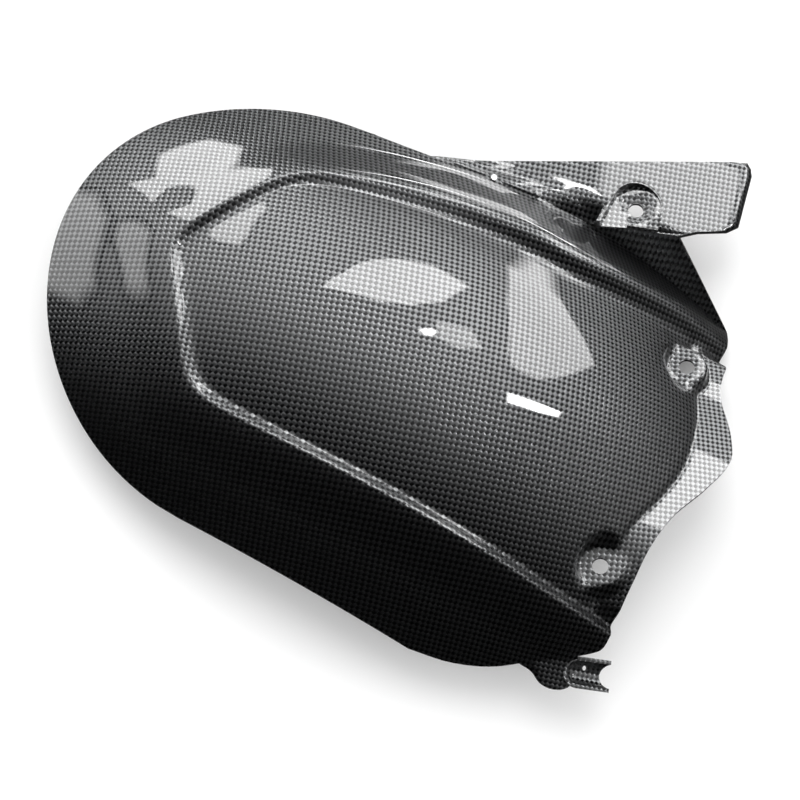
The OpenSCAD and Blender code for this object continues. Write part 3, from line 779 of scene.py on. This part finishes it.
def weave_cells(tree, pitch):
    """Plain weave: which bundle is on top, and how high it stands, from the piece's map in millimetres."""
    flat = node(tree, "ShaderNodeUVMap", uv_map="weave").outputs[0]
    coords = node(tree, "ShaderNodeTexCoord").outputs["Object"]
    sway = node(
        tree, "ShaderNodeTexNoise", {"Vector": coords, "Scale": SWAY_SCALE, "Detail": 1.0}
    ).outputs["Color"]
    shift = vector_node(tree, "SUBTRACT", {0: sway, 1: (0.5, 0.5, 0.5)})
    moved = vector_node(tree, "MULTIPLY_ADD", {0: shift, 1: (SWAY, SWAY, 0.0), 2: flat})
    turned = node(
        tree, "ShaderNodeVectorRotate", {"Vector": moved, "Angle": -math.radians(WARP_TURN)},
        rotation_type="Z_AXIS",
    ).outputs[0]
    scaled = vector_node(tree, "SCALE", {0: turned, "Scale": 1 / pitch})
    parts = node(tree, "ShaderNodeSeparateXYZ", {0: scaled}).outputs
    across = [math_node(tree, "FRACT", parts[k]) for k in (0, 1)]
    whole = [math_node(tree, "FLOOR", parts[k]) for k in (0, 1)]
    half = math_node(tree, "MULTIPLY", math_node(tree, "ADD", *whole), 0.5)
    warp_up = math_node(tree, "GREATER_THAN", math_node(tree, "FRACT", half), 0.25)
    humps = [math_node(tree, "SINE", math_node(tree, "MULTIPLY", v, math.pi)) for v in across]
    wide = [math_node(tree, "POWER", h, BUNDLE_ROUND) for h in humps]
    warp = math_node(tree, "MULTIPLY", humps[0], wide[1])
    weft = math_node(tree, "MULTIPLY", humps[1], wide[0])
    height = node(
        tree, "ShaderNodeMix", {"Factor": warp_up, "A": weft, "B": warp}, data_type="FLOAT"
    ).outputs["Result"]
    return warp_up, height


def carbon_material(colours, name, finish):
    """Black woven fibre, deep under a clear lacquer as smooth as glass. Its fine chequer is painted light
    and
    shade in the base colour: bundles on top along the warp get a painted highlight down their middle and run
    in zigzag chains round those that lie across, which get painted shade. The inner side has only resin,
    with a dull satin face."""
    roughness, coat, coat_roughness = finish
    material, tree = blank_material(name)
    warp_up, height = weave_cells(tree, colours.pitch / MM)
    # Painted highlight and shade: a bundle's middle is painted bright with the warp on top, dark with the
    # weft
    painted_light_share = math_node(tree, "MINIMUM", math_node(tree, "MULTIPLY", height, TONE_STEEP), 1.0)
    lift = math_node(tree, "MULTIPLY", math_node(tree, "SUBTRACT", warp_up, BETWEEN), painted_light_share)
    bright = math_node(tree, "ADD", lift, BETWEEN)
    painted_light_tone = node(
        tree, "ShaderNodeMix",
        {"Factor": bright, "A": (*srgb(colours.weft), 1), "B": (*srgb(colours.warp), 1)}, data_type="RGBA",
    )
    colour = [o for o in painted_light_tone.outputs if o.type == "RGBA"][0]
    bump = node(tree, "ShaderNodeBump", {"Strength": 1.0, "Distance": RELIEF, "Height": height}).outputs[0]
    tangent = node(tree, "ShaderNodeTangent", direction_type="UV_MAP", uv_map="weave").outputs[0]
    quarter = math_node(tree, "MULTIPLY", warp_up, 0.25)
    turn = math_node(tree, "ADD", quarter, WARP_TURN / 360)
    inputs = {
        "Base Color": colour, "Metallic": 1.0, "Roughness": roughness, "Normal": bump,
        "Anisotropic": DRAWN_OUT, "Anisotropic Rotation": turn, "Tangent": tangent,
        "Coat Weight": coat, "Coat Roughness": coat_roughness, "Coat IOR": 1.5,
    }
    shader = node(tree, "ShaderNodeBsdfPrincipled", inputs)
    node(tree, "ShaderNodeOutputMaterial", {"Surface": shader.outputs[0]})
    return material


def dress(obj, colours):
    obj.data.materials.clear()
    obj.data.materials.append(carbon_material(colours, "lacquered_carbon", LACQUERED))
    obj.data.materials.append(carbon_material(colours, "inner_carbon", RESIN_ONLY))


class MudguardSizes(bpy.types.PropertyGroup):
    floor_drop: FloatProperty(
        name="Panel drop", description="Depth of the sunken panel under the crown",
        default=0.0015, min=0.0005, max=0.003, unit="LENGTH")
    left_ridge: FloatProperty(
        name="Chain side ridge", description="Height of the ridge on the chain side",
        default=0.009, min=0.006, max=0.011, unit="LENGTH")
    right_ridge: FloatProperty(
        name="Hose side ridge", description="Height of the ridge on the hose side",
        default=0.006, min=0.004, max=0.008, unit="LENGTH")
    plate_lip: FloatProperty(
        name="Plate lip", description="Height of the downturned lip of the chain guard plate",
        default=0.0045, min=0.003, max=0.006, unit="LENGTH")
    bead: FloatProperty(
        name="Bead width", description="Width of the raised beads along the plate's root",
        default=0.0026, min=0.002, max=0.004, unit="LENGTH")


class MudguardColours(bpy.types.PropertyGroup):
    # Painted highlight: the lit grey that the middles of the bundles along the warp are painted with
    warp: FloatVectorProperty(
        name="Warp bundles", description="Colour of the fibre bundles that run along the warp",
        default=hexed("#6b6c6d"), min=0, max=1, size=3, subtype="COLOR_GAMMA")
    weft: FloatVectorProperty(
        # Painted shade: the shaded grey that the middles of the bundles across are painted with
        name="Weft bundles", description="Colour of the fibre bundles that run across",
        default=hexed("#131314"), min=0, max=1, size=3, subtype="COLOR_GAMMA")
    floor: FloatVectorProperty(
        name="Floor", description="Colour of the studio floor",
        default=hexed("#fbfbfb"), min=0, max=1, size=3, subtype="COLOR_GAMMA")
    pitch: FloatProperty(
        name="Weave pitch", description="Width of one fibre bundle in the weave",
        default=0.002, min=0.001, max=0.004, unit="LENGTH")


def in_mm(sizes):
    """The sizes set in the sidebar, in millimetres."""
    names = ("floor_drop", "left_ridge", "right_ridge", "plate_lip", "bead")
    return SimpleNamespace(**{name: getattr(sizes, name) / MM for name in names})


class MUDGUARD_OT_shell(bpy.types.Operator):
    """Builds the moulded shell with its panel, plate, web, screw seat and hose guide"""

    bl_idname = "mudguard.shell"
    bl_label = "Build the shell"

    def execute(self, context):
        sizes = in_mm(context.scene.mudguard_sizes)
        grid, last, edge_column = shell_grid(sizes)
        shell = add_object("hugger_shell", sheet_mesh("hugger_shell", grid, last, edge_column, WALL))
        for material in ("outer", "inner"):
            shell.data.materials.append(bpy.data.materials.new(material))
        for point in pads(sizes):
            drill(shell, point, SCREW_LEAN, SCREW_D / 2)
        add_seat(shell)
        add_trough(shell)
        without_slivers(shell.data)
        lay_weave(shell.data)
        shade(shell.data)
        dress(shell, context.scene.mudguard_colours)
        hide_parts("hugger")
        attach(shell, "root")
        return {"FINISHED"}


def beads_tree(material):
    """Nodes that turn edges into rounded beads and lone points into studs."""
    tree = bpy.data.node_groups.new("raised_beads", "GeometryNodeTree")
    tree.interface.new_socket("Geometry", in_out="INPUT", socket_type="NodeSocketGeometry")
    for name in ("Bead width", "Stud width", "Stud height"):
        tree.interface.new_socket(name, in_out="INPUT", socket_type="NodeSocketFloat")
    tree.interface.new_socket("Geometry", in_out="OUTPUT", socket_type="NodeSocketGeometry")
    given = node(tree, "NodeGroupInput").outputs
    radius = math_node(tree, "MULTIPLY", given["Bead width"], 0.5)
    path = node(tree, "GeometryNodeMeshToCurve", {"Mesh": given["Geometry"]}).outputs[0]
    ring = node(
        tree, "GeometryNodeCurvePrimitiveCircle", {"Resolution": BEAD_STEPS, "Radius": radius}
    ).outputs[0]
    bar = node(
        tree, "GeometryNodeCurveToMesh", {"Curve": path, "Profile Curve": ring, "Fill Caps": True}
    ).outputs[0]
    ends = node(tree, "GeometryNodeCurveEndpointSelection", {"Start Size": 1, "End Size": 1}).outputs[0]
    ball = node(
        tree, "GeometryNodeMeshUVSphere",
        {"Segments": BEAD_STEPS, "Rings": BEAD_STEPS // 2, "Radius": radius},
    ).outputs[0]
    caps = node(
        tree, "GeometryNodeInstanceOnPoints", {"Points": path, "Selection": ends, "Instance": ball}
    ).outputs[0]
    neighbours = node(tree, "GeometryNodeInputMeshVertexNeighbors").outputs["Vertex Count"]
    alone = node(
        tree, "FunctionNodeCompare", {"A": neighbours, "B": 0}, data_type="INT", operation="EQUAL"
    ).outputs[0]
    points = node(
        tree, "GeometryNodeMeshToPoints", {"Mesh": given["Geometry"], "Selection": alone}
    ).outputs[0]
    stud_radius = math_node(tree, "MULTIPLY", given["Stud width"], 0.5)
    stud = node(
        tree, "GeometryNodeMeshCylinder",
        {"Vertices": STUD_STEPS, "Radius": stud_radius, "Depth": given["Stud height"]},
    ).outputs["Mesh"]
    studs = node(tree, "GeometryNodeInstanceOnPoints", {"Points": points, "Instance": stud}).outputs[0]
    join = node(tree, "GeometryNodeJoinGeometry")
    for part in (studs, caps, bar):
        tree.links.new(part, join.inputs[0])
    real = node(tree, "GeometryNodeRealizeInstances", {"Geometry": join.outputs[0]}).outputs[0]
    painted = node(tree, "GeometryNodeSetMaterial", {"Geometry": real, "Material": material}).outputs[0]
    node(tree, "NodeGroupOutput", {"Geometry": painted})
    return tree


def root_point(x, out, lift, s):
    """Place beside the rim, out over the plate's root by a distance, and lifted off its surface."""
    root = np.array([x, rim_half(x)])
    away = line_at(PLATE_EDGE, x) - root
    fold = fold_point(x, float(curve(FRONT_EDGE, LEFT_W + LEFT_FLARE)), s)
    roll = np.linalg.norm(fold[:2] - root)
    p = root + out * away / np.linalg.norm(away)
    rim_z = float(shell_z(x, rim_half(x), s))
    if out < roll:
        z = mix(rim_z, fold[2], out / roll)
    else:
        z = mix(fold[2], plate_plane_z(p[0]), float(ease((out - roll) / PLATE_BLEND)))
    return (p[0], p[1], z + lift)


class MUDGUARD_OT_beads(bpy.types.Operator):
    """Builds the raised beads and the two studs along the plate's root"""

    bl_idname = "mudguard.beads"
    bl_label = "Build the beads"

    def execute(self, context):
        s = in_mm(context.scene.mudguard_sizes)
        points, edges = [], []
        for span in BEAD_SPANS:
            steps = np.linspace(*span, BEAD_POINTS)
            edges += [(len(points) + k, len(points) + k + 1) for k in range(len(steps) - 1)]
            points += [root_point(float(x), BEAD_OUT, BEAD_LIFT, s) for x in steps]
        points += [root_point(x, out, STUD_LIFT, s) for x, out in STUDS]
        mesh = bpy.data.meshes.new("raised_beads")
        mesh.from_pydata(((np.array(points) - ORIGIN) * MM).tolist(), edges, [])
        beads = add_object("raised_beads", mesh)
        material = carbon_material(context.scene.mudguard_colours, "bead_carbon", LACQUERED)
        step = beads.modifiers.new("beads", "NODES")
        step.node_group = beads_tree(material)
        values = {"Bead width": s.bead * MM, "Stud width": STUD_D * MM, "Stud height": STUD_H * MM}
        for item in step.node_group.interface.items_tree:
            if item.name in values and item.in_out == "INPUT":
                step[item.identifier] = values[item.name]
        solid = bpy.data.meshes.new_from_object(beads.evaluated_get(context.evaluated_depsgraph_get()))
        if not len(solid.polygons):
            raise RuntimeError("the beads came out empty")
        beads.modifiers.remove(step)
        beads.data = solid
        lay_weave(solid)
        shade(solid)
        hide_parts("hugger")
        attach(beads, "root")
        return {"FINISHED"}


def plain_surface(name, colour, roughness):
    material, tree = blank_material(name)
    inputs = {"Base Color": (*srgb(colour), 1), "Roughness": roughness}
    shader = node(tree, "ShaderNodeBsdfPrincipled", inputs)
    node(tree, "ShaderNodeOutputMaterial", {"Surface": shader.outputs[0]})
    return material


def area_lamp(name, place, width, power):
    """Round lamp that points at the object and isn't seen in its gloss."""
    light = bpy.data.lights.new(name, "AREA")
    light.shape, light.size, light.energy = "DISK", width, power
    lamp = add_object(name, light)
    lamp.location = place
    lamp.rotation_euler = (-Vector(place)).to_track_quat("-Z", "Y").to_euler()
    lamp.visible_glossy = False


def card(name, corners, strength, soft):
    """Bright card round the object that only its gloss shows, fading towards its edge. Its corners are
    directions from the object in degrees, turned from +X and raised from the floor."""
    outline = []
    for (turn0, rise0), (turn1, rise1) in zip(corners, corners[1:] + corners[:1]):
        outline += [(mix(turn0, turn1, t), mix(rise0, rise1, t)) for t in (0.0, 0.25, 0.5, 0.75)]
    count = len(outline)
    middle = tuple(sum(corner[k] for corner in outline) / count for k in (0, 1))
    points = []
    for turn, rise in [middle] + outline:
        a, e = math.radians(turn), math.radians(rise)
        way = (math.cos(e) * math.cos(a), math.cos(e) * math.sin(a), math.sin(e))
        points.append([CARD_FAR * w for w in way])
    mesh = bpy.data.meshes.new(name)
    mesh.from_pydata(points, [], [[0, 1 + i, 1 + (i + 1) % count] for i in range(count)])
    mesh.attributes.new("inside", "FLOAT", "POINT").data.foreach_set("value", [1.0] + [0.0] * count)
    obj = add_object(name, mesh)
    material, tree = blank_material(name)
    inside = node(tree, "ShaderNodeAttribute", attribute_name="inside").outputs["Fac"]
    power = ramp(tree, inside, (0.0, soft), (0.0, strength))
    glow = node(tree, "ShaderNodeEmission", {"Strength": power})
    node(tree, "ShaderNodeOutputMaterial", {"Surface": glow.outputs[0]})
    mesh.materials.append(material)
    for ray in ("camera", "diffuse", "shadow", "transmission", "volume_scatter"):
        setattr(obj, "visible_" + ray, False)


def studio_world(scene):
    """White for the camera, an even white for the object's colour, and for its gloss a room that is bright
    overhead and on the nose's side, and dark near the floor, on the hose side and past the mounting end."""
    world = bpy.data.worlds.new("studio")
    tree = empty_tree(world)
    way = node(tree, "ShaderNodeTexCoord").outputs["Generated"]
    parts = node(tree, "ShaderNodeSeparateXYZ", {0: way}).outputs
    side = ramp(tree, parts["Y"], *ROOM_SIDE)
    high = ramp(tree, parts["Z"], *ROOM_HIGH)
    nose = ramp(tree, parts["X"], *ROOM_NOSE, smooth=False)
    tail = ramp(tree, parts["X"], *ROOM_TAIL)
    room = math_node(tree, "MULTIPLY", side, high)
    for share in (nose, tail):
        room = math_node(tree, "MULTIPLY", room, share)
    path = node(tree, "ShaderNodeLightPath").outputs
    strength = node(tree, "ShaderNodeMix", {"Factor": path["Is Glossy Ray"], "A": 1.0, "B": room},
                    data_type="FLOAT").outputs["Result"]
    glow = node(tree, "ShaderNodeBackground", {"Color": (1, 1, 1, 1), "Strength": strength}).outputs[0]
    node(tree, "ShaderNodeOutputWorld", {"Surface": glow})
    scene.world = world


class MUDGUARD_OT_studio(bpy.types.Operator):
    """Adds the floor, the lamp, the reflection cards, the world and the camera"""

    bl_idname = "mudguard.studio"
    bl_label = "Build the studio"

    def execute(self, context):
        scene = context.scene
        mesh = bpy.data.meshes.new("studio_floor")
        corners = rectangle(-FLOOR_HALF, FLOOR_HALF, FLOOR_HALF)
        mesh.from_pydata([(x, y, 0) for x, y in corners], [], [[0, 1, 2, 3]])
        floor = add_object("studio_floor", mesh)
        mesh.materials.append(plain_surface("floor_white", scene.mudguard_colours.floor, roughness=0.9))
        floor.visible_glossy = False
        area_lamp("key_lamp", KEY_PLACE, KEY_WIDTH, KEY_POWER)
        for name, (strength, soft, corners) in CARDS.items():
            card(name, corners, strength, soft)
        studio_world(scene)
        camera = bpy.data.cameras.new("photo_camera")
        camera.lens, camera.sensor_width = LENS, SENSOR
        view = add_object("photo_camera", camera)
        view.location = CAMERA_PLACE
        view.rotation_euler = [math.radians(turn) for turn in CAMERA_TURNS]
        scene.camera = view
        scene.view_settings.view_transform = "Standard"
        return {"FINISHED"}


class MUDGUARD_PT_panel(bpy.types.Panel):
    bl_label = "Rear hugger mudguard"
    bl_space_type = "VIEW_3D"
    bl_region_type = "UI"
    bl_category = "Mudguard"

    def draw(self, context):
        for group in (context.scene.mudguard_sizes, context.scene.mudguard_colours):
            box = self.layout.box()
            for name in group.__annotations__:
                box.prop(group, name)
        for operator in OPERATORS:
            self.layout.operator(operator.bl_idname)


OPERATORS = (MUDGUARD_OT_shell, MUDGUARD_OT_beads, MUDGUARD_OT_studio)
CLASSES = (MudguardSizes, MudguardColours, *OPERATORS, MUDGUARD_PT_panel)


def register():
    for cls in CLASSES:
        bpy.utils.register_class(cls)
    bpy.types.Scene.mudguard_sizes = PointerProperty(type=MudguardSizes)
    bpy.types.Scene.mudguard_colours = PointerProperty(type=MudguardColours)


def unregister():
    del bpy.types.Scene.mudguard_colours
    del bpy.types.Scene.mudguard_sizes
    for cls in reversed(CLASSES):
        bpy.utils.unregister_class(cls)


def main():
    register()
    bpy.ops.mudguard.shell()
    bpy.ops.mudguard.beads()
    bpy.ops.mudguard.studio()


if __name__ == "__main__":
    main()
